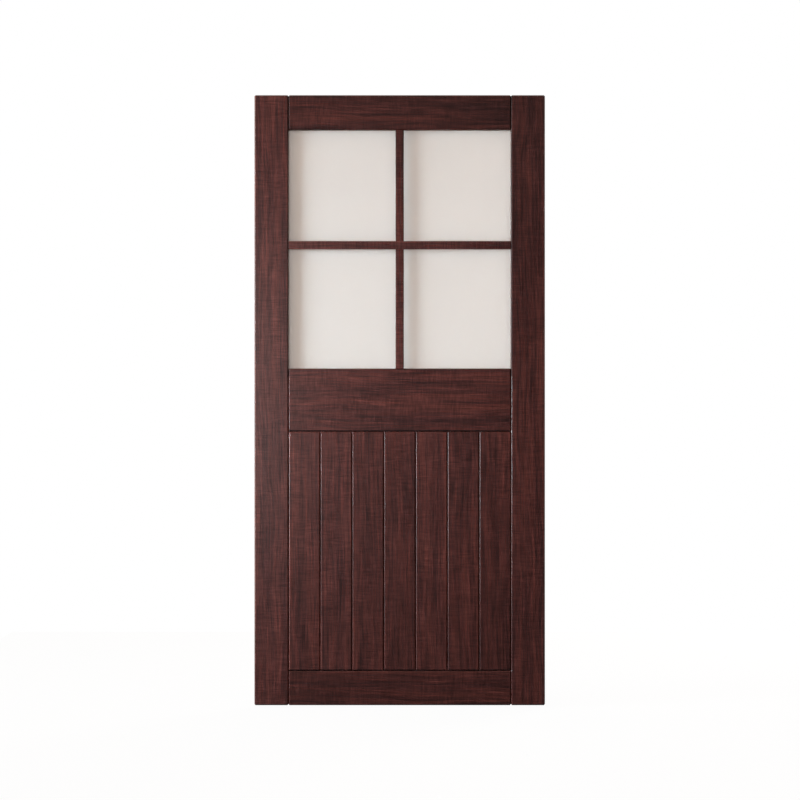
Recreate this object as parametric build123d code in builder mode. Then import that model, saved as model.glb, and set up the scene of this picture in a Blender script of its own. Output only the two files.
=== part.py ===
from build123d import *
import os

# Leaf of a sliding barn door, half glazed over vertical planks.
#
# Two stiles and three rails are joined by haunched tenons into a frame. Seven tongue-and-groove planks
# fill the lower opening. Above the middle rail one frosted pane sits in a rebate behind mitred and
# pinned beads, and on each side of it, clear of the glass, two thin muntins are halved across each
# other into a grille. Every board has a 45 degree chamfer round its faces, so two boards meet in a V.
#
# Millimetres. The origin is at the middle of the bottom edge, half way through the thickness.
# +X points right as seen from the front, -Y out of the front face, and +Z up.

# Leaf
door_width = 1016.0
door_height = 2133.6
door_thickness = 35.0

# Boards and openings, as they show from the front
stile_width = 119.0
top_rail_height = 121.6
middle_rail_height = 219.4
bottom_rail_height = 120.2
upper_light_height = 388.8
lower_light_height = 417.2
muntin_width = 28.6
plank_count = 7
arris = 3.8  # chamfer round the faces of every board

# Grooves, tongues and the glazing rebate
groove_width = 8.0  # central in the thickness
groove_depth = 10.0  # of the panel grooves and of the rebate
rebate_front = 1.0  # the rebate starts this far behind the middle of the thickness
groove_stop = 30.0  # the stiles' grooves end this far from the top and bottom edges
tongue_clearance = 0.15  # on each side of a tongue
tongue_end_clearance = 0.5
plank_gap = 0.3  # beside each plank's shoulders, for the wood to move
plank_end_gap = 1.2  # above and below them

# Tenons, which go on from the rails' tongues into mortises in the stiles
tenon_length = 65.0
tenon_width = 58.0
tenon_spacing = 110.0  # between the middle rail's two tenons
tenon_clearance = 0.1  # above and below a tenon

# Muntins
muntin_thickness = 6.0
muntin_tenon_length = 6.0
muntin_tenon_width = 20.0
muntin_tenon_thickness = 2.0
muntin_clearance = 0.1  # round the tenon
muntin_arris = 1.5

# Glazing
glass_thickness = 5.0
glass_edge_clearance = 2.5
glass_arris = 0.5
tape_thickness = 1.5
tape_width = 6.0
bead_inset = 1.0  # the beads lie this far under the back face
bead_arris = 3.0
block_length = 60.0
block_width = 7.0
block_spacing = 480.0

# Pins through the beads
pin_count = 4  # in each bead
pin_width = 1.25
pin_thickness = 1.0
pin_length = 16.0
pin_point_length = 1.6
pin_clearance = 0.02
pin_head_depth = 0.4  # the heads are set under the bead's surface
pin_setback = 70.0  # of the end pins from the bead's ends

# Slot along the bottom edge for the floor guide
guide_slot_width = 8.0
guide_slot_depth = 20.0

# Levels and distances that follow
half_thickness = door_thickness / 2
window_width = door_width - 2 * stile_width
joint_x = window_width / 2  # the stiles' inner edges
window_top = door_height - top_rail_height
muntin_level = window_top - upper_light_height - muntin_width / 2
window_bottom = muntin_level - muntin_width / 2 - lower_light_height
window_height = window_top - window_bottom
window_middle = (window_top + window_bottom) / 2
panel_top = window_bottom - middle_rail_height
panel_bottom = bottom_rail_height
panel_height = panel_top - panel_bottom
panel_middle = (panel_top + panel_bottom) / 2

tongue_thickness = groove_width - 2 * tongue_clearance
tongue_length = groove_depth - tongue_end_clearance
plank_tongue_length = plank_gap + tongue_length
plank_width = (window_width - (plank_count + 1) * plank_gap) / plank_count

glass_bite = groove_depth - glass_edge_clearance
glass_front = rebate_front + tape_thickness
glass_back = glass_front + glass_thickness
bead_front = glass_back + tape_thickness
bead_back = half_thickness - bead_inset
bead_middle = (bead_front + bead_back) / 2

# Middle level of each tenon
top_tenons = [(window_top + groove_depth + door_height - groove_stop) / 2]
middle_rail_level = (panel_top + window_bottom) / 2
middle_tenons = [middle_rail_level - tenon_spacing / 2, middle_rail_level + tenon_spacing / 2]
bottom_tenons = [(groove_stop + panel_bottom - groove_depth) / 2]


def upright(y):
    """Sketching plane that faces the front, at a distance y behind the middle of the leaf."""
    return Plane.XZ.offset(-y)


def face_edges(board):
    """The edges round a board's front and back faces."""
    return board.faces().filter_by(Axis.Y).edges()


def finish(part, label):
    """Names a finished piece and writes it."""
    part.label = label
    export_step(part, f"parts/{label}.step")


os.makedirs("parts", exist_ok=True)

# Each bead's pin direction, its own direction and how far its ends and its sight line lie from the middle
bead_sides = {
    "top": ((0, 0, 1), (1, 0, 0), window_width / 2, window_height / 2),
    "right": ((1, 0, 0), (0, 0, -1), window_height / 2, window_width / 2),
    "bottom": ((0, 0, -1), (-1, 0, 0), window_width / 2, window_height / 2),
    "left": ((-1, 0, 0), (0, 0, 1), window_height / 2, window_width / 2),
}


def pin_planes(side):
    """A plane for each pin of a bead, at its sight face: x runs along the bead and y along the pin."""
    inward, along, half_length, reach = bead_sides[side]
    pin_spacing = 2 * (half_length - pin_setback) / (pin_count - 1)
    middle = Vector(0, bead_middle, window_middle) + Vector(*inward) * reach
    start = -(pin_count - 1) / 2 * pin_spacing
    return [
        Plane(middle + Vector(*along) * (start + k * pin_spacing), x_dir=along, z_dir=(0, -1, 0))
        for k in range(pin_count)
    ]


# Pins with chisel points, driven from the beads' sight faces and set under them
with BuildPart() as bead_pins:
    for side in bead_sides:
        for plane in pin_planes(side):
            with BuildSketch(plane):
                with BuildLine():
                    Polyline(
                        (-pin_width / 2, pin_head_depth),
                        (pin_width / 2, pin_head_depth),
                        (pin_width / 2, pin_head_depth + pin_length - pin_point_length),
                        (0, pin_head_depth + pin_length),
                        (-pin_width / 2, pin_head_depth + pin_length - pin_point_length),
                        close=True,
                    )
                make_face()
            extrude(amount=pin_thickness / 2, both=True)
finish(bead_pins.part, "bead_pins")

# The holes that they leave
with BuildPart() as pin_holes:
    hole_length = pin_head_depth + pin_length + pin_clearance
    for side in bead_sides:
        for plane in pin_planes(side):
            with BuildSketch(plane):
                with Locations((0, hole_length / 2)):
                    Rectangle(pin_width + 2 * pin_clearance, hole_length)
            extrude(amount=pin_thickness / 2 + pin_clearance, both=True)


def make_grille(face, outward):
    """A grille's two muntins. Outward is -1 on the front, flush with the leaf, and 1 on the back."""
    outer_y = -half_thickness if outward < 0 else bead_back
    inner_y = outer_y - outward * muntin_thickness
    middle_y = (outer_y + inner_y) / 2
    with BuildPart() as cross:
        with BuildSketch(upright(outer_y)):
            with Locations((0, muntin_level)):
                Rectangle(window_width, muntin_width)
            with Locations((0, window_middle)):
                Rectangle(muntin_width, window_height)
        extrude(amount=outward * muntin_thickness)
        chamfer(cross.faces().sort_by(Axis.Y)[-1 if outward > 0 else 0].edges(), muntin_arris)
        with BuildSketch(upright(inner_y)):
            with Locations((0, muntin_level)):
                Rectangle(window_width + 2 * muntin_tenon_length, muntin_tenon_width)
            with Locations((0, window_middle)):
                Rectangle(muntin_tenon_width, window_height + 2 * muntin_tenon_length)
        extrude(amount=-outward * muntin_tenon_thickness)

    # The level muntin keeps the outer half of the crossing, and the upright one the inner half
    reach = window_width + window_height
    with BuildPart() as level_muntin:
        add(cross.part)
        with BuildSketch(upright(outer_y)):
            with Locations((0, muntin_level)):
                Rectangle(reach, muntin_width)
        extrude(amount=outward * muntin_thickness, mode=Mode.INTERSECT)
        with BuildSketch(upright(inner_y)):
            with Locations((0, muntin_level)):
                Rectangle(muntin_width, muntin_width)
        extrude(amount=-outward * muntin_thickness / 2, mode=Mode.SUBTRACT)
    finish(level_muntin.part, f"muntin_{face}_level")

    with BuildPart() as upright_muntin:
        add(cross.part)
        with BuildSketch(upright(outer_y)):
            with Locations((0, window_middle)):
                Rectangle(muntin_width, reach)
        extrude(amount=outward * muntin_thickness, mode=Mode.INTERSECT)
        with BuildSketch(upright(outer_y)):
            with Locations((0, muntin_level)):
                Rectangle(muntin_width, muntin_width)
        extrude(amount=outward * muntin_thickness / 2, mode=Mode.SUBTRACT)
    finish(upright_muntin.part, f"muntin_{face}_upright")


def muntin_pockets(outward):
    """The mortises that a grille's tenons go into, in the boards or the beads round it."""
    inner_y = (-half_thickness if outward < 0 else bead_back) - outward * muntin_thickness
    pocket_length = muntin_tenon_length + tongue_end_clearance
    pocket_width = muntin_tenon_width + 2 * muntin_clearance
    with BuildPart() as pockets:
        with BuildSketch(upright(inner_y - outward * muntin_clearance)):
            with Locations((0, muntin_level)):
                Rectangle(window_width + 2 * pocket_length, pocket_width)
            with Locations((0, window_middle)):
                Rectangle(pocket_width, window_height + 2 * pocket_length)
        extrude(amount=-outward * (muntin_tenon_thickness + 2 * muntin_clearance))
    return pockets.part


front_pockets = muntin_pockets(-1)
back_pockets = muntin_pockets(1)


def make_stile(side, label):
    """A stile, on the left where side is -1: groove, rebate, mortises and the floor guide's slot."""
    with BuildPart() as stile:
        with BuildSketch(upright(-half_thickness)):
            with Locations((side * (joint_x + stile_width / 2), door_height / 2)):
                Rectangle(stile_width, door_height)
        extrude(amount=-door_thickness)
        chamfer(stile.edges(), arris)

        # The groove stops below and above the window, where the rebate takes its place
        groove_low = (groove_stop + window_bottom - groove_depth) / 2
        groove_high = (window_top + groove_depth + door_height - groove_stop) / 2
        with BuildSketch(upright(-groove_width / 2)):
            with Locations((side * (joint_x + groove_depth / 2), groove_low)):
                Rectangle(groove_depth, 2 * (groove_low - groove_stop))
            with Locations((side * (joint_x + groove_depth / 2), groove_high)):
                Rectangle(groove_depth, 2 * (door_height - groove_stop - groove_high))
        extrude(amount=-groove_width, mode=Mode.SUBTRACT)

        with BuildSketch(upright(rebate_front)):
            with Locations((side * (joint_x + groove_depth / 2), window_middle)):
                Rectangle(groove_depth, window_height + 2 * groove_depth)
        extrude(amount=rebate_front - half_thickness, mode=Mode.SUBTRACT)

        mortise_depth = tenon_length + tongue_end_clearance
        with BuildSketch(upright(-groove_width / 2)):
            for level in top_tenons + middle_tenons + bottom_tenons:
                with Locations((side * (joint_x + mortise_depth / 2), level)):
                    Rectangle(mortise_depth, tenon_width + 2 * tenon_clearance)
        extrude(amount=-groove_width, mode=Mode.SUBTRACT)

        with BuildSketch(Plane.XY):
            with Locations((side * (joint_x + stile_width / 2), 0)):
                Rectangle(stile_width, guide_slot_width)
        extrude(amount=guide_slot_depth, mode=Mode.SUBTRACT)

        add(front_pockets, mode=Mode.SUBTRACT)
        add(pin_holes.part, mode=Mode.SUBTRACT)
    finish(stile.part, label)


def make_rail(label, low, high, edge_below, edge_above, tenons):
    """A rail between two levels. Its long edges are outer, panel (grooved) or window (rebated)."""
    tongue_low = low + (groove_stop if edge_below == "outer" else groove_depth)
    tongue_high = high - (groove_stop if edge_above == "outer" else groove_depth)
    with BuildPart() as rail:
        with BuildSketch(upright(-half_thickness)):
            with Locations((0, (low + high) / 2)):
                Rectangle(window_width, high - low)
        extrude(amount=-door_thickness)
        edges_across = rail.edges().filter_by(Axis.Y).group_by(Axis.Z)
        worked_edges = face_edges(rail)
        if edge_below == "outer":
            worked_edges += edges_across[0]
        if edge_above == "outer":
            worked_edges += edges_across[-1]
        chamfer(worked_edges, arris)

        # A tongue all along each end for the stile's groove, and longer tenons out of it
        with BuildSketch(upright(-tongue_thickness / 2)):
            with Locations((0, (tongue_low + tongue_high) / 2)):
                Rectangle(window_width + 2 * tongue_length, tongue_high - tongue_low)
            for level in tenons:
                with Locations((0, level)):
                    Rectangle(window_width + 2 * tenon_length, tenon_width)
        extrude(amount=-tongue_thickness)

        # A groove for the planks or a rebate for the pane, where inward is the direction into the rail
        for kind, edge, inward in ((edge_below, low, 1), (edge_above, high, -1)):
            if kind != "outer":
                start = -groove_width / 2 if kind == "panel" else rebate_front
                end = groove_width / 2 if kind == "panel" else half_thickness
                with BuildSketch(upright(start)):
                    with Locations((0, edge + inward * groove_depth / 2)):
                        Rectangle(window_width, groove_depth)
                extrude(amount=start - end, mode=Mode.SUBTRACT)

        if edge_below == "outer":
            with BuildSketch(Plane.XY):
                Rectangle(window_width, guide_slot_width)
            extrude(amount=guide_slot_depth, mode=Mode.SUBTRACT)
        if "window" in (edge_below, edge_above):
            add(front_pockets, mode=Mode.SUBTRACT)
            add(pin_holes.part, mode=Mode.SUBTRACT)
    finish(rail.part, label)


def make_plank(number):
    """A plank, counted from the left. The first has tongues all round, the others a groove on the left."""
    left = -joint_x + plank_gap + (number - 1) * (plank_width + plank_gap)
    right = left + plank_width
    plate_left = left - plank_tongue_length if number == 1 else left
    plate_right = right + plank_tongue_length
    with BuildPart() as plank:
        with BuildSketch(upright(-half_thickness)):
            with Locations(((left + right) / 2, panel_middle)):
                Rectangle(plank_width, panel_height - 2 * plank_end_gap)
        extrude(amount=-door_thickness)
        chamfer(face_edges(plank), arris)

        with BuildSketch(upright(-tongue_thickness / 2)):
            with Locations(((plate_left + plate_right) / 2, panel_middle)):
                Rectangle(plate_right - plate_left, panel_height + 2 * tongue_length)
        extrude(amount=-tongue_thickness)

        if number > 1:
            with BuildSketch(upright(-groove_width / 2)):
                with Locations((left + groove_depth / 2, panel_middle)):
                    Rectangle(groove_depth, panel_height + 2 * groove_depth)
            extrude(amount=-groove_width, mode=Mode.SUBTRACT)
    finish(plank.part, f"plank_{number}")


def make_bead(side):
    """A glazing bead, mitred at its ends and chamfered along its sight line."""
    inward, along, half_length, reach = bead_sides[side]
    window_centre = Vector(0, bead_front, window_middle)
    seat = Plane(window_centre + Vector(*inward) * reach, x_dir=along, z_dir=(0, -1, 0))
    with BuildPart() as bead:
        with BuildSketch(seat):
            with BuildLine():
                Polyline(
                    (-half_length, 0),
                    (half_length, 0),
                    (half_length + groove_depth, groove_depth),
                    (-half_length - groove_depth, groove_depth),
                    close=True,
                )
            make_face()
        extrude(amount=-(bead_back - bead_front))
        back_edges = bead.faces().sort_by(Axis.Y)[-1].edges()
        chamfer(back_edges.sort_by_distance(window_centre)[0], bead_arris)
        add(back_pockets, mode=Mode.SUBTRACT)
        add(pin_holes.part, mode=Mode.SUBTRACT)
    finish(bead.part, f"bead_{side}")


def make_tape(face, y):
    """A ring of glazing tape on one face of the pane, from y backwards."""
    width = window_width + 2 * glass_bite
    height = window_height + 2 * glass_bite
    with BuildPart() as tape:
        with BuildSketch(upright(y)):
            with Locations((0, window_middle)):
                Rectangle(width, height)
                Rectangle(width - 2 * tape_width, height - 2 * tape_width, mode=Mode.SUBTRACT)
        extrude(amount=-tape_thickness)
    finish(tape.part, f"tape_{face}")


make_stile(-1, "stile_left")
make_stile(1, "stile_right")
make_rail("rail_top", window_top, door_height, "window", "outer", top_tenons)
make_rail("rail_middle", panel_top, window_bottom, "panel", "window", middle_tenons)
make_rail("rail_bottom", 0, panel_bottom, "outer", "panel", bottom_tenons)
for number in range(1, plank_count + 1):
    make_plank(number)
make_grille("front", -1)
make_grille("back", 1)
for side in bead_sides:
    make_bead(side)
make_tape("front", rebate_front)
make_tape("back", glass_back)

# The pane, with its edges seamed
with BuildPart() as glass_pane:
    with BuildSketch(upright(glass_front)):
        with Locations((0, window_middle)):
            Rectangle(window_width + 2 * glass_bite, window_height + 2 * glass_bite)
    extrude(amount=-glass_thickness)
    chamfer(face_edges(glass_pane), glass_arris)
finish(glass_pane.part, "glass_pane")

# Two setting blocks under the pane
with BuildPart() as setting_blocks:
    with BuildSketch(Plane.XY.offset(window_bottom - groove_depth)):
        with Locations((0, (glass_front + glass_back) / 2)):
            with GridLocations(block_spacing, 0, 2, 1):
                Rectangle(block_length, block_width)
    extrude(amount=glass_edge_clearance)
finish(setting_blocks.part, "setting_blocks")
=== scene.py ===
import bmesh
import bpy
import numpy as np
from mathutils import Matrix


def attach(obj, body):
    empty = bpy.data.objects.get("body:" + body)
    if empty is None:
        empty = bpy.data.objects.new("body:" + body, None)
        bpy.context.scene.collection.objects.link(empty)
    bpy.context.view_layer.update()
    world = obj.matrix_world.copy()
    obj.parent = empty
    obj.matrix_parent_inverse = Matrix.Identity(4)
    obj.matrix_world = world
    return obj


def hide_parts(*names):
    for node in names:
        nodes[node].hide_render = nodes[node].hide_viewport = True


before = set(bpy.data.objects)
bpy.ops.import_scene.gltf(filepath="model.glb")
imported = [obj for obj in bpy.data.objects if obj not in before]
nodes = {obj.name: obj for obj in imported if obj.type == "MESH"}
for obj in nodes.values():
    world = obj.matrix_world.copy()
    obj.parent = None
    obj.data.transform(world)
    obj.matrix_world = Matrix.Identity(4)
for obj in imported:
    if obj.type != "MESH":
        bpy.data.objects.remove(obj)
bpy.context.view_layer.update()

print("frame loaded:", len(nodes), "nodes")


# One socket of a material's or the world's tree. Arithmetic on it adds Math nodes, and node() adds any
# other node: its type, its settings, which are set first, then the values or links of its sockets.
class Wire:
    def __init__(self, tree, socket=None):
        self.tree = tree
        self.socket = socket

    def node(self, kind, settings=None, sockets=None, output=0):
        made = self.tree.nodes.new("ShaderNode" + kind)
        for name, value in (settings or {}).items():
            setattr(made, name, value)
        for name, value in (sockets or {}).items():
            if isinstance(value, Wire):
                self.tree.links.new(value.socket, made.inputs[name])
            else:
                made.inputs[name].default_value = value
        return Wire(self.tree, made.outputs[output])

    def math(self, operation, first, second, clamp=False):
        return self.node("Math", {"operation": operation, "use_clamp": clamp}, {0: first, 1: second})

    def __add__(self, other):
        return self.math("ADD", self, other)

    def __radd__(self, other):
        return self.math("ADD", other, self)

    def __sub__(self, other):
        return self.math("SUBTRACT", self, other)

    def __rsub__(self, other):
        return self.math("SUBTRACT", other, self)

    def __mul__(self, other):
        return self.math("MULTIPLY", self, other)

    def __rmul__(self, other):
        return self.math("MULTIPLY", other, self)

    def __pow__(self, other):
        return self.math("POWER", self, other)

    def atLeast(self, low):
        return self.math("MAXIMUM", self, low)

    # cut off under 0 and over 1
    def clipped(self):
        return self.math("ADD", self, 0.0, True)

    # one of the vector's three numbers
    def axis(self, letter):
        return self.node("SeparateXYZ", None, {0: self}, letter)

    # smooth noise from 0 to 1 at the vector, which is scaled by three numbers and moved by three more
    def noise(self, scale, shift=(0.0, 0.0, 0.0), detail=2.0, rough=0.5):
        place = self.node("VectorMath", {"operation": "MULTIPLY_ADD"}, {0: self, 1: scale, 2: shift})
        sockets = {"Vector": place, "Scale": 1.0, "Detail": detail, "Roughness": rough}
        return self.node("TexNoise", None, sockets)

    # the same noise, from -0.5 to 0.5
    def swing(self, *shape):
        return self.noise(*shape) - 0.5

    # 0 under low, 1 over high, smooth in between
    def smooth(self, low, high):
        settings = {"interpolation_type": "SMOOTHSTEP"}
        return self.node("MapRange", settings, {"Value": self, "From Min": low, "From Max": high})

    # the first colour where this is 0, the second where it is 1
    def between(self, first, second):
        return self.node("Mix", {"data_type": "RGBA"}, {0: self, 6: (*first, 1.0), 7: (*second, 1.0)}, 2)

    # the colour, times this
    def tint(self, colour):
        return self.node("VectorMath", {"operation": "SCALE"}, {0: colour, "Scale": self})

    # 1 on rays of the named kind
    def ray(self, kind):
        return self.node("LightPath", None, None, f"Is {kind} Ray")

    # the first shader where this is 0, the second where it is 1
    def mixShaders(self, first, second):
        return self.node("MixShader", None, {0: self, 1: first, 2: second})


# A new material: its first wire, its shader node and itself
def newMaterial(name, shaderSettings):
    material = bpy.data.materials.new(name)
    material.use_nodes = True
    tree = material.node_tree
    shader = tree.nodes["Principled BSDF"]
    for socket, value in shaderSettings.items():
        shader.inputs[socket].default_value = value
    return Wire(tree), shader, material


def feed(wire, target, socket):
    wire.tree.links.new(wire.socket, target.inputs[socket])


def addBump(height, depth, shader):
    feed(height.node("Bump", None, {"Strength": 1.0, "Distance": depth, "Height": height}), shader, "Normal")


# The base and then each named layer times its share, all added up
def blend(base, layers, shares):
    total = base
    for name, share in shares.items():
        total = total + layers[name] * share
    return total


# Stained wood. A board's attribute "grain" holds metres along, across and through it, and "tone" how light
# it took the stain, together with painted light and shade that grow darker to the right and change with
# height. A per-face attribute holds how light
# each face is: lighter on the rounded arrises, partly worn and partly a painted highlight, and darker with
# painted shade in the joints
# and next to the glass. A layer is noise: its waves in a metre each way, its shift, its detail and its
# roughness. The fibres carry all the layers but the marks.
wood = {
    "warm": (0.0970, 0.0272, 0.0222),
    "cool": (0.0755, 0.0252, 0.0238),
    "roughness": 0.28,
    "dull": 0.7,  # a face darkened with painted shade, in the joints and next to the glass, is also rougher by up to this
    "specular": 0.35,
    "bumpDepth": 0.00008,
    "wander": ((2.6, 5.0, 5.0), (3.1, 0.0, 0.0), 1.0),
    "wanderAcross": 0.03,
    "wanderThrough": 0.01,
    "fine": ((10.0, 270.0, 270.0), (0.0, 0.0, 0.0), 1.0, 0.6),
    "streak": ((4.0, 120.0, 120.0), (1.7, 0.0, 0.0), 2.0, 0.55),
    "band": ((1.5, 42.0, 42.0), (0.0, 5.3, 0.0), 1.0),
    "cloud": ((5.5, 24.0, 24.0), (9.1, 0.0, 2.0), 2.0, 0.55),
    "marks": ((250.0, 26.0, 26.0), (0.0, 7.0, 0.0), 1.0, 0.6),  # short lines across the grain
    "markPatch": ((9.0, 12.0, 12.0), (0.0, 0.0, 8.0), 1.0),
    "markLimits": (0.30, 0.70),
    "markLeast": 0.5,
    "markMore": 0.6,
    "pore": ((70.0, 1900.0, 1900.0), (0.0, 0.0, 4.0), 0.0),
    "poreLimits": (0.66, 0.80),
    # how much of each layer goes into the tone, the hue, the gloss and the relief
    "toneShares": {"fine": 2.05, "streak": 1.12, "band": 0.75, "cloud": 0.40, "marks": 1.65, "pore": -0.40},
    "warmShares": {"streak": 1.3, "band": 1.5, "cloud": 0.8},
    "roughShares": {"fine": -0.10, "streak": -0.08, "cloud": 0.10, "pore": 0.2},
    "reliefShares": {"fine": 0.5, "streak": 0.8, "marks": 0.5, "pore": -0.8},
    # the tone is 1 + sum / curve, raised to the curve's power, so that the lightest lines stand out
    "darkest": -0.9,  # the least sum
    "curve": 3.0,
}


def makeWood():
    start, shader, material = newMaterial("stainedWood", {"Specular IOR Level": wood["specular"]})
    grain = start.node("Attribute", {"attribute_name": "grain"}, None, "Vector")
    boardToneWithPaintedLight = start.node("Attribute", {"attribute_name": "tone"}, None, "Fac")
    wearAndPaintedLight = start.node("Attribute", {"attribute_name": "wearAndPaintedLight"}, None, "Fac")

    # the fibres wander a few millimetres across the board as they run along it
    wander = grain.swing(*wood["wander"])
    fibre = start.node("CombineXYZ", None, {
        "X": grain.axis("X"),
        "Y": grain.axis("Y") + wander * wood["wanderAcross"],
        "Z": grain.axis("Z") + wander * wood["wanderThrough"],
    })
    layers = {layer: fibre.swing(*wood[layer]) for layer in ("fine", "streak", "band", "cloud")}
    patch = grain.noise(*wood["markPatch"]).smooth(*wood["markLimits"])
    layers["marks"] = grain.swing(*wood["marks"]) * (patch * wood["markMore"] + wood["markLeast"])
    layers["pore"] = fibre.noise(*wood["pore"]).smooth(*wood["poreLimits"])

    tone = blend(0.0, layers, wood["toneShares"]).atLeast(wood["darkest"])
    tone = (1.0 + tone * (1.0 / wood["curve"])) ** wood["curve"]
    hue = blend(0.5, layers, wood["warmShares"]).clipped().between(wood["cool"], wood["warm"])
    # the base colour carries painted light and shade: the board's fall-off to the right and with height, and
    # the painted highlights and shade of the faces
    feed((tone * boardToneWithPaintedLight * wearAndPaintedLight).tint(hue), shader, "Base Color")
    roughness = blend(wood["roughness"], layers, wood["roughShares"])
    feed(roughness + (1.0 - wearAndPaintedLight).atLeast(0.0) * wood["dull"], shader, "Roughness")
    addBump(blend(0.0, layers, wood["reliefShares"]), wood["bumpDepth"], shader)
    return material


# Frosted glass: etched on both faces, so it scatters nearly all light and shows hardly anything behind it
glass = {
    "colour": (0.920, 0.880, 0.850),
    "roughness": 0.62,
    "transmission": 0.40,
    "ior": 1.5,
    "specular": 0.3,
    "mist": ((14.0, 14.0, 9.0), (0.0, 0.0, 0.0), 2.0),
    "etch": ((420.0, 420.0, 420.0), (0.0, 0.0, 0.0), 2.0, 0.7),
    "toneShares": {"mist": 0.03, "etch": 0.05, "paintedLowerLight": 0.06},
    "paintedLightLevel": 1.6,  # painted light: the glass is painted a little lighter the further it lies below this height
    "bumpDepth": 0.00003,
}


def makeGlass():
    start, shader, material = newMaterial("frostedGlass", {
        "IOR": glass["ior"],
        "Transmission Weight": glass["transmission"],
        "Specular IOR Level": glass["specular"],
        "Roughness": glass["roughness"],
    })
    place = start.node("TexCoord", None, None, "Object")
    layers = {layer: place.swing(*glass[layer]) for layer in ("mist", "etch")}
    # painted light: the lower panes are made lighter than the upper
    layers["paintedLowerLight"] = glass["paintedLightLevel"] - place.axis("Z")
    feed(blend(1.0, layers, glass["toneShares"]).tint(glass["colour"]), shader, "Base Color")
    addBump(layers["etch"] + layers["mist"], glass["bumpDepth"], shader)
    return material


# Rubber and foam, with a fine mottled skin: colour, roughness and the size of a mottle in metres
rubbers = {
    "glazingTape": ((0.50, 0.47, 0.43), 0.75, 0.0012),
    "blockRubber": ((0.03, 0.03, 0.031), 0.6, 0.0008),
}
rubberSkin = {"specular": 0.3, "detail": 3.0, "rough": 0.6, "contrast": 0.3, "bumpDepth": 0.00005}


def makeRubber(name):
    colour, roughness, mottle = rubbers[name]
    start, shader, material = newMaterial(name, {
        "Roughness": roughness,
        "Specular IOR Level": rubberSkin["specular"],
    })
    place = start.node("TexCoord", None, None, "Object")
    skin = place.swing((1 / mottle,) * 3, (0.0, 0.0, 0.0), rubberSkin["detail"], rubberSkin["rough"])
    feed((1.0 + skin * rubberSkin["contrast"]).tint(colour), shader, "Base Color")
    addBump(skin, rubberSkin["bumpDepth"], shader)
    return material


# Drawn steel: fine lines along the pins and a few dull spots
steel = {
    "colour": (0.50, 0.49, 0.47),
    "roughness": 0.34,
    "lines": ((900.0, 9000.0, 900.0), (0.0, 0.0, 0.0), 2.0),
    "spots": ((300.0, 300.0, 300.0), (4.0, 0.0, 0.0), 2.0),
    "spotLimits": (0.5, 0.7),
    "toneShares": {"spots": -0.3, "lines": 0.1},
    "roughShares": {"spots": 0.25, "lines": 0.1},
}


def makeSteel():
    start, shader, material = newMaterial("pinSteel", {"Metallic": 1.0})
    place = start.node("TexCoord", None, None, "Object")
    layers = {
        "lines": place.swing(*steel["lines"]),
        "spots": place.noise(*steel["spots"]).smooth(*steel["spotLimits"]),
    }
    feed(blend(1.0, layers, steel["toneShares"]).tint(steel["colour"]), shader, "Base Color")
    feed(blend(steel["roughness"], layers, steel["roughShares"]), shader, "Roughness")
    return material


woodMaterial = makeWood()
glassMaterial = makeGlass()
print("materials ready")

# Boards: the axes along, across and through the grain, how light the board took the stain, partly its own
# tone and partly painted light and shade for the lamps' fall-off to the right, the top and the foot, how
# much lighter it is for each metre to the left and for each metre up, both painted light and shade standing
# in for that fall-off, and where in the log it was cut
upright = (2, 0, 1)
level = (0, 2, 1)
boards = {
    "stile_left": (upright, 1.12, 0.15, -0.05, (0.0, 0.3)),
    "stile_right": (upright, 0.95, 0.15, -0.12, (0.0, 0.9)),
    "rail_top": (level, 0.72, 0.50, 0.00, (4.0, 1.5)),
    "rail_middle": (level, 1.04, 0.45, 0.00, (8.0, 2.1)),
    "rail_bottom": (level, 0.82, 0.00, 0.00, (12.0, 2.7)),
    "plank_1": (upright, 1.02, 0.15, 0.16, (16.0, 3.3)),
    "plank_2": (upright, 1.10, 0.15, 0.16, (20.0, 3.9)),
    "plank_3": (upright, 0.95, 0.15, 0.16, (24.0, 4.5)),
    "plank_4": (upright, 0.97, 0.15, 0.16, (28.0, 5.1)),
    "plank_5": (upright, 1.06, 0.15, 0.16, (32.0, 5.7)),
    "plank_6": (upright, 0.95, 0.15, 0.16, (36.0, 6.3)),
    "plank_7": (upright, 0.88, 0.15, 0.16, (41.3, 6.9)),
    "muntin_front_level": (level, 1.12, 0.45, 0.00, (44.0, 7.5)),
    "muntin_front_upright": (upright, 1.65, 0.15, -0.40, (48.0, 8.1)),
    "muntin_back_level": (level, 0.95, 0.15, 0.00, (52.0, 8.7)),
    "muntin_back_upright": (upright, 0.95, 0.15, 0.00, (56.0, 9.3)),
    "bead_top": (level, 0.95, 0.15, 0.00, (60.0, 9.9)),
    "bead_bottom": (level, 0.97, 0.15, 0.00, (64.0, 10.5)),
    "bead_left": (upright, 0.93, 0.15, 0.00, (68.0, 11.1)),
    "bead_right": (upright, 0.96, 0.15, 0.00, (72.0, 11.7)),
}
cutting = {
    "weld": 1e-6,  # the copy's points within this of each other become one
    "flat": 0.01,  # its faces within this angle of each other become one, in radians
    "lean": 0.012,  # how far the grain leans across the board for each metre along it
    "toneLevel": 0.6,  # the height at which the painted light and shade by height leave a board at its own tone
}
# outer edges sharper and longer than this, in radians and metres, are rounded over and made lighter, partly
# as wear and partly as a painted highlight
rounding = {"radius": 0.0009, "segments": 3, "sharper": 0.5, "longer": 0.002, "wearAndPaintedLight": 1.75}
# painted shade: the faces that look down into the joints above and below the planks are darkened where shade
# falls
jointShade = {"low": 0.11, "high": 0.97, "facing": -0.3, "wearAndPaintedLight": 0.12}
# painted shade: the slanting arrises next to the glass, above the window's foot, are darkened as well
window = {"foot": 1.15, "reach": 0.40, "slant": (0.3, 0.95), "wearAndPaintedLight": 0.45}
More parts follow.
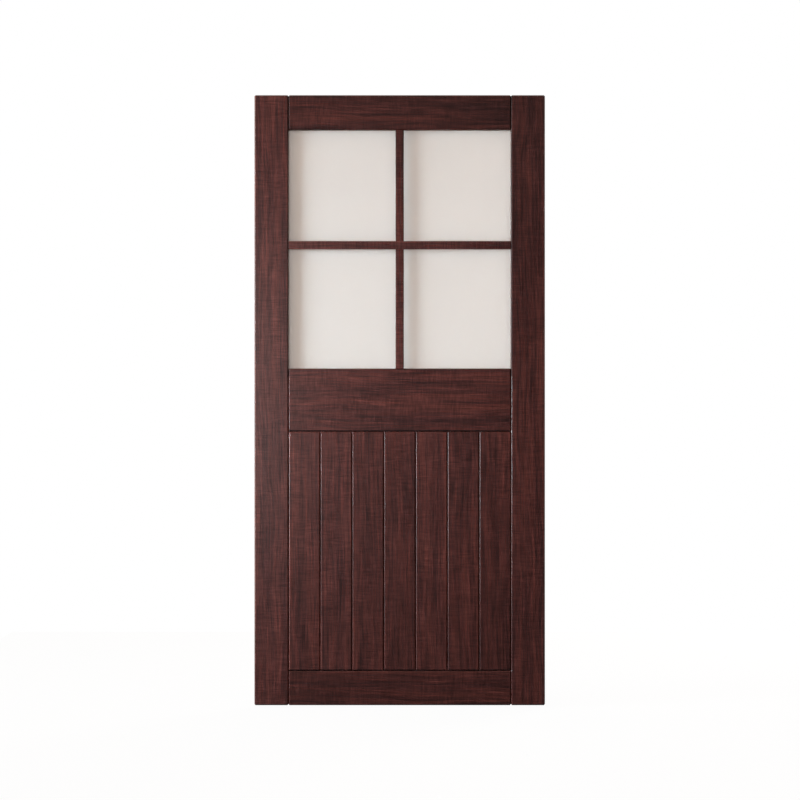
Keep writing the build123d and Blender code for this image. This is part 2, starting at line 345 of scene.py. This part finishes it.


# A board's mesh is its node's copy, merged, cut at the window's foot and with its outer edges rounded
# over. With it comes how light each face is: lighter on the rounded arrises, partly wear and partly a
# painted highlight, and darker with painted shade in the joints and next to the glass.
def shapeBoard(name):
    mesh = nodes[name].data.copy()
    mesh.name = name + "_board"
    shape = bmesh.new()
    shape.from_mesh(mesh)
    bmesh.ops.remove_doubles(shape, verts=shape.verts, dist=cutting["weld"])
    bmesh.ops.dissolve_limit(shape, angle_limit=cutting["flat"], verts=shape.verts, edges=shape.edges)
    bmesh.ops.bisect_plane(
        shape, geom=[*shape.verts, *shape.edges, *shape.faces], dist=cutting["weld"],
        plane_co=(0.0, 0.0, window["foot"]), plane_no=(0.0, 0.0, 1.0),
    )
    outer = [
        edge for edge in shape.edges
        if len(edge.link_faces) == 2
        and edge.calc_face_angle_signed() > rounding["sharper"]
        and edge.calc_length() > rounding["longer"]
    ]
    rounded = bmesh.ops.bevel(
        shape, geom=outer, offset=rounding["radius"], segments=rounding["segments"],
        profile=0.5, affect="EDGES", clamp_overlap=True,
    )
    shape.faces.index_update()
    shape.normal_update()
    centres = np.array([face.calc_center_median() for face in shape.faces])
    normals = np.array([face.normal for face in shape.faces])
    slants = np.abs(normals[:, 0])
    jointShadeFaces = (
        (normals[:, 2] < jointShade["facing"])
        & (jointShade["low"] < centres[:, 2]) & (centres[:, 2] < jointShade["high"])
    )
    glassArrisShade = (
        (window["slant"][0] < slants) & (slants < window["slant"][1])
        & (centres[:, 2] > window["foot"]) & (np.abs(centres[:, 0]) < window["reach"])
    )
    # each face's lightness: wear and a painted highlight on the rounded arrises, painted shade in the joints
    # and next to the glass
    wearAndPaintedLight = np.ones(len(shape.faces), np.float32)
    wearAndPaintedLight[[face.index for face in rounded["faces"]]] = rounding["wearAndPaintedLight"]
    wearAndPaintedLight[jointShadeFaces] = jointShade["wearAndPaintedLight"]
    wearAndPaintedLight[glassArrisShade] = window["wearAndPaintedLight"]
    shape.to_mesh(mesh)
    shape.free()
    return mesh, wearAndPaintedLight


# A board stands in for its node. Its grain is measured from its own place in the log, and leans a
# little, so that the streaks run out at its edges.
def makeBoard(name, axes, tone, paintedLeftLight, paintedHeightLight, cut):
    mesh, wearAndPaintedLight = shapeBoard(name)
    points = np.empty(len(mesh.vertices) * 3)
    mesh.vertices.foreach_get("co", points)
    points = points.reshape(-1, 3)
    grain = points[:, axes] + np.array([cut[0], cut[1], 0.0])
    grain[:, 1] += points[:, axes[0]] * cutting["lean"]
    # painted light and shade: the tone is lighter to the left and changes with height, standing in for the
    # lamps' fall-off
    tonesWithPaintedLight = tone * (1.0 - paintedLeftLight * points[:, 0]) * (1.0 + paintedHeightLight * (points[:, 2] - cutting["toneLevel"]))
    for attribute, kind, domain, field, values in (
        ("grain", "FLOAT_VECTOR", "POINT", "vector", grain),
        ("tone", "FLOAT", "POINT", "value", tonesWithPaintedLight),
        ("wearAndPaintedLight", "FLOAT", "FACE", "value", wearAndPaintedLight),
    ):
        layer = mesh.attributes.new(attribute, kind, domain)
        layer.data.foreach_set(field, values.astype(np.float32).ravel())

    mesh.materials.clear()
    mesh.materials.append(woodMaterial)
    board = bpy.data.objects.new(name + "_board", mesh)
    bpy.context.scene.collection.objects.link(board)
    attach(board, "root")
    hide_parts(name)


for name, board in boards.items():
    makeBoard(name, *board)
print("boards ready:", len(boards))


def dress(name, material):
    for slot in nodes[name].material_slots:
        slot.material = material


dress("glass_pane", glassMaterial)
tapeMaterial = makeRubber("glazingTape")
dress("tape_front", tapeMaterial)
dress("tape_back", tapeMaterial)
dress("setting_blocks", makeRubber("blockRubber"))
dress("bead_pins", makeSteel())
print("glazing dressed")

# Floor, a flat square a little under the hanging leaf: nearly white to the camera and dim to the light,
# so that it hardly brightens the leaf. The glass, and a gloss that mirrors it from behind the leaf, find
# it nearly white too.
floor = {
    "reach": 1.8,
    "gap": 0.010,
    "roughness": 0.9,
    "seenColour": (0.8,) * 3,
    "ownColour": (0.04,) * 3,
    "whiteShare": 0.96,
    "mirrored": (0.0, 0.3),  # metres behind the leaf between which it whitens in a gloss
}


def makeFloor():
    ticks = np.array([-floor["reach"], floor["reach"]])
    xs, ys = np.meshgrid(ticks, ticks)
    points = np.stack([xs.ravel(), ys.ravel(), np.full(4, -floor["gap"])], axis=1)
    mesh = bpy.data.meshes.new("studioFloor")
    mesh.from_pydata(points.tolist(), [], [(0, 1, 3, 2)])
    start, shader, material = newMaterial("floorPaint", {
        "Roughness": floor["roughness"],
        "Specular IOR Level": 0.0,
    })
    camera, glossy, through = (start.ray(kind) for kind in ("Camera", "Glossy", "Transmission"))
    feed(camera.between(floor["ownColour"], floor["seenColour"]), shader, "Base Color")
    behind = start.node("TexCoord", None, None, "Object").axis("Y").smooth(*floor["mirrored"])
    seen = (camera + glossy * behind + through).clipped() * floor["whiteShare"]
    glow = start.node("Emission", None, {"Color": (1.0, 1.0, 1.0, 1.0), "Strength": 1.0})
    paint = seen.mixShaders(Wire(start.tree, shader.outputs["BSDF"]), glow)
    # a camera under the floor looks through it at the leaf's bottom edge
    below = camera * start.node("NewGeometry", None, None, "Backfacing")
    clear = start.node("BsdfTransparent")
    feed(below.mixShaders(paint, clear), start.tree.nodes["Material Output"], "Surface")
    mesh.materials.append(material)
    piece = bpy.data.objects.new("studioFloor", mesh)
    bpy.context.scene.collection.objects.link(piece)


makeFloor()

# World: a studio that is bright at its sides, dimmer to the right and overhead and dark behind the
# camera, so that the flat leaf mirrors little of it. The camera, the glass and what a gloss mirrors from
# behind the leaf see a white card.
studio = {
    "fill": 2.6,
    "colour": (1.0, 0.75, 0.58),
    "right": 0.3,
    "rightLimits": (-0.5, 0.5),
    "overhead": 0.5,
    "overheadLimits": (0.2, 1.0),
    "cardLimits": (0.80, 0.92),
}


def makeWorld():
    world = bpy.data.worlds.new("studio")
    bpy.context.scene.world = world
    world.use_nodes = True
    world.node_tree.nodes.clear()
    start = Wire(world.node_tree)
    towards = start.node("TexCoord", None, None, "Generated")
    across, depth, height = (towards.axis(letter) for letter in "XYZ")
    sides = (1.0 - depth * depth) ** 2.0
    left = 1.0 - across.smooth(*studio["rightLimits"]) * (1.0 - studio["right"])
    overhead = 1.0 - height.smooth(*studio["overheadLimits"]) * (1.0 - studio["overhead"])
    fill = sides * left * overhead * studio["fill"]
    camera, glossy, through = (start.ray(kind) for kind in ("Camera", "Glossy", "Transmission"))
    seen = (camera + through + glossy * depth.smooth(*studio["cardLimits"])).clipped()
    light = start.node("Background", None, {"Color": (*studio["colour"], 1.0), "Strength": fill})
    white = start.node("Background", None, {"Color": (1.0, 1.0, 1.0, 1.0), "Strength": 1.0})
    feed(seen.mixShaders(light, white), start.tree.nodes.new("ShaderNodeOutputWorld"), "Surface")


makeWorld()

# Lamps: place, the point each is aimed at, its two sides in metres, its spread, its watts and its colour
lamps = {
    "keyLamp": ((-6.30, -1.80, 1.50), (0.0, 0.0, 1.1), (2.0, 2.2), 0.75, 59.0, (0.70, 0.89, 1.0)),
    "sheenLamp": ((-1.60, -5.5, 1.15), (0.0, 0.0, 1.15), (0.5, 2.0), np.pi, 33.0, (1.0, 0.97, 0.95)),
    "ceilingLamp": ((0.40, -5.5, 3.10), (0.0, 0.0, 2.0), (2.0, 1.0), np.pi, 1.8, (0.90, 0.97, 1.0)),
    "backLamp": ((3.6, 3.4, 2.2), (0.0, 0.0, 1.1), (1.6, 1.6), np.pi, 190.0, (1.0, 0.97, 0.94)),
}


def aim(thing, place, target):
    thing.location = place
    direction = np.array(target) - np.array(place)
    flat = np.hypot(direction[0], direction[1])
    thing.rotation_euler = (np.arctan2(flat, -direction[2]), 0.0, np.arctan2(-direction[0], direction[1]))


for name, (place, target, sides, spread, watts, colour) in lamps.items():
    lamp = bpy.data.lights.new(name, "AREA")
    lamp.shape = "RECTANGLE"
    lamp.size, lamp.size_y = sides
    lamp.spread = spread
    lamp.energy = watts
    lamp.color = colour
    holder = bpy.data.objects.new(name, lamp)
    aim(holder, place, target)
    bpy.context.scene.collection.objects.link(holder)

# Camera, level and straight in front, as the photograph was taken
camera = {
    "place": (0.00105, -5.5175, 1.0675),
    "target": (0.00105, 0.0, 1.0675),
    "lens": 70.80,
    "sensor": 36.0,
}
eye = bpy.data.cameras.new("camera")
eye.lens = camera["lens"]
eye.sensor_width = camera["sensor"]
eyeHolder = bpy.data.objects.new("camera", eye)
aim(eyeHolder, camera["place"], camera["target"])
bpy.context.scene.collection.objects.link(eyeHolder)
bpy.context.scene.camera = eyeHolder
bpy.context.scene.view_settings.view_transform = "Standard"
print("studio ready")
